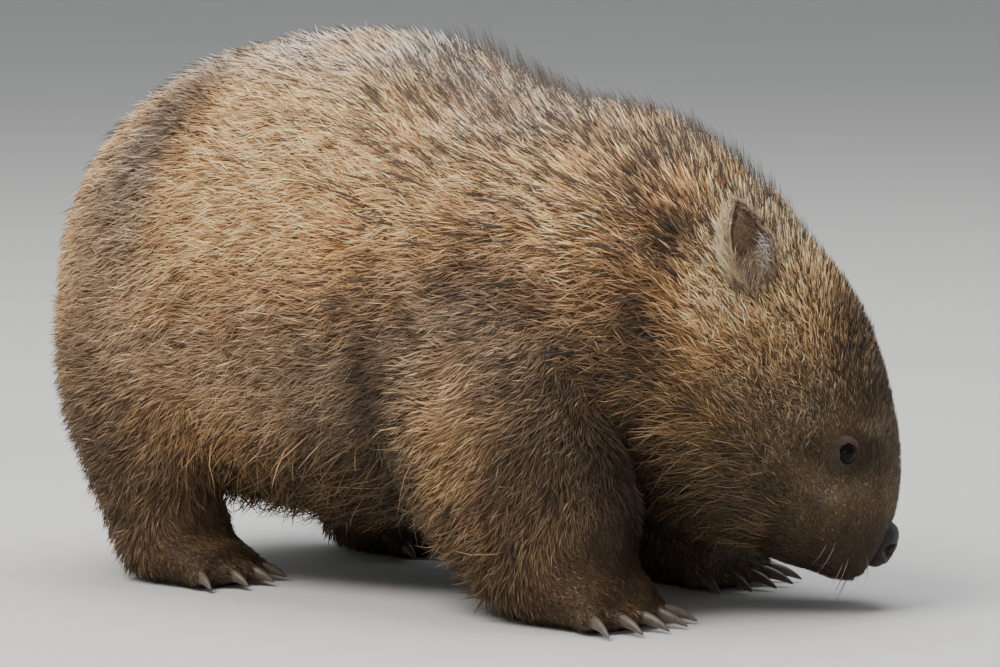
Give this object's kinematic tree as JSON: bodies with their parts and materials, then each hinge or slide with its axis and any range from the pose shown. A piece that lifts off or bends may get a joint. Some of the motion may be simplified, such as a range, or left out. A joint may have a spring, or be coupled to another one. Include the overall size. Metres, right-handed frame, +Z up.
{
  "type": "wombat",
  "caption": "Life-size still model of a bare-nosed wombat grazing, with a stout barrel body, short legs and its lowered head turned to its left.",
  "frame": {"origin": "centre of the bounding box, on the floor that the soles stand on", "axes": "+X towards the animal's front, +Y to its left, +Z up"},
  "size_m": [0.662, 0.3448, 0.3902],
  "materials": {
    "claw": "worn horn",
    "coat": "coarse matt hair",
    "ear": "thin skin with fine hair",
    "eye": "wet gloss",
    "face": "short matt hair",
    "limbs": "coarse matt hair",
    "nose": "bare and finely pebbled",
    "paws": "short dark hair"
  },
  "bodies": {
    "root": {"ear_L": "ear", "ear_R": "ear", "eye_L": "eye", "eye_R": "eye", "fore_claw_L1": "claw", "fore_claw_L2": "claw", "fore_claw_L3": "claw", "fore_claw_L4": "claw", "fore_claw_L5": "claw", "fore_claw_R1": "claw", "fore_claw_R2": "claw", "fore_claw_R3": "claw", "fore_claw_R4": "claw", "fore_claw_R5": "claw", "fore_leg_L": "limbs", "fore_leg_R": "limbs", "fore_paw_L": "paws", "fore_paw_R": "paws", "head": "face", "hind_claw_L1": "claw", "hind_claw_L2": "claw", "hind_claw_L3": "claw", "hind_claw_L4": "claw", "hind_claw_R1": "claw", "hind_claw_R2": "claw", "hind_claw_R3": "claw", "hind_claw_R4": "claw", "hind_leg_L": "limbs", "hind_leg_R": "limbs", "hind_paw_L": "paws", "hind_paw_R": "paws", "neck": "coat", "nose": "nose", "tail": "coat", "torso": "coat"}
  },
  "joints": []
}
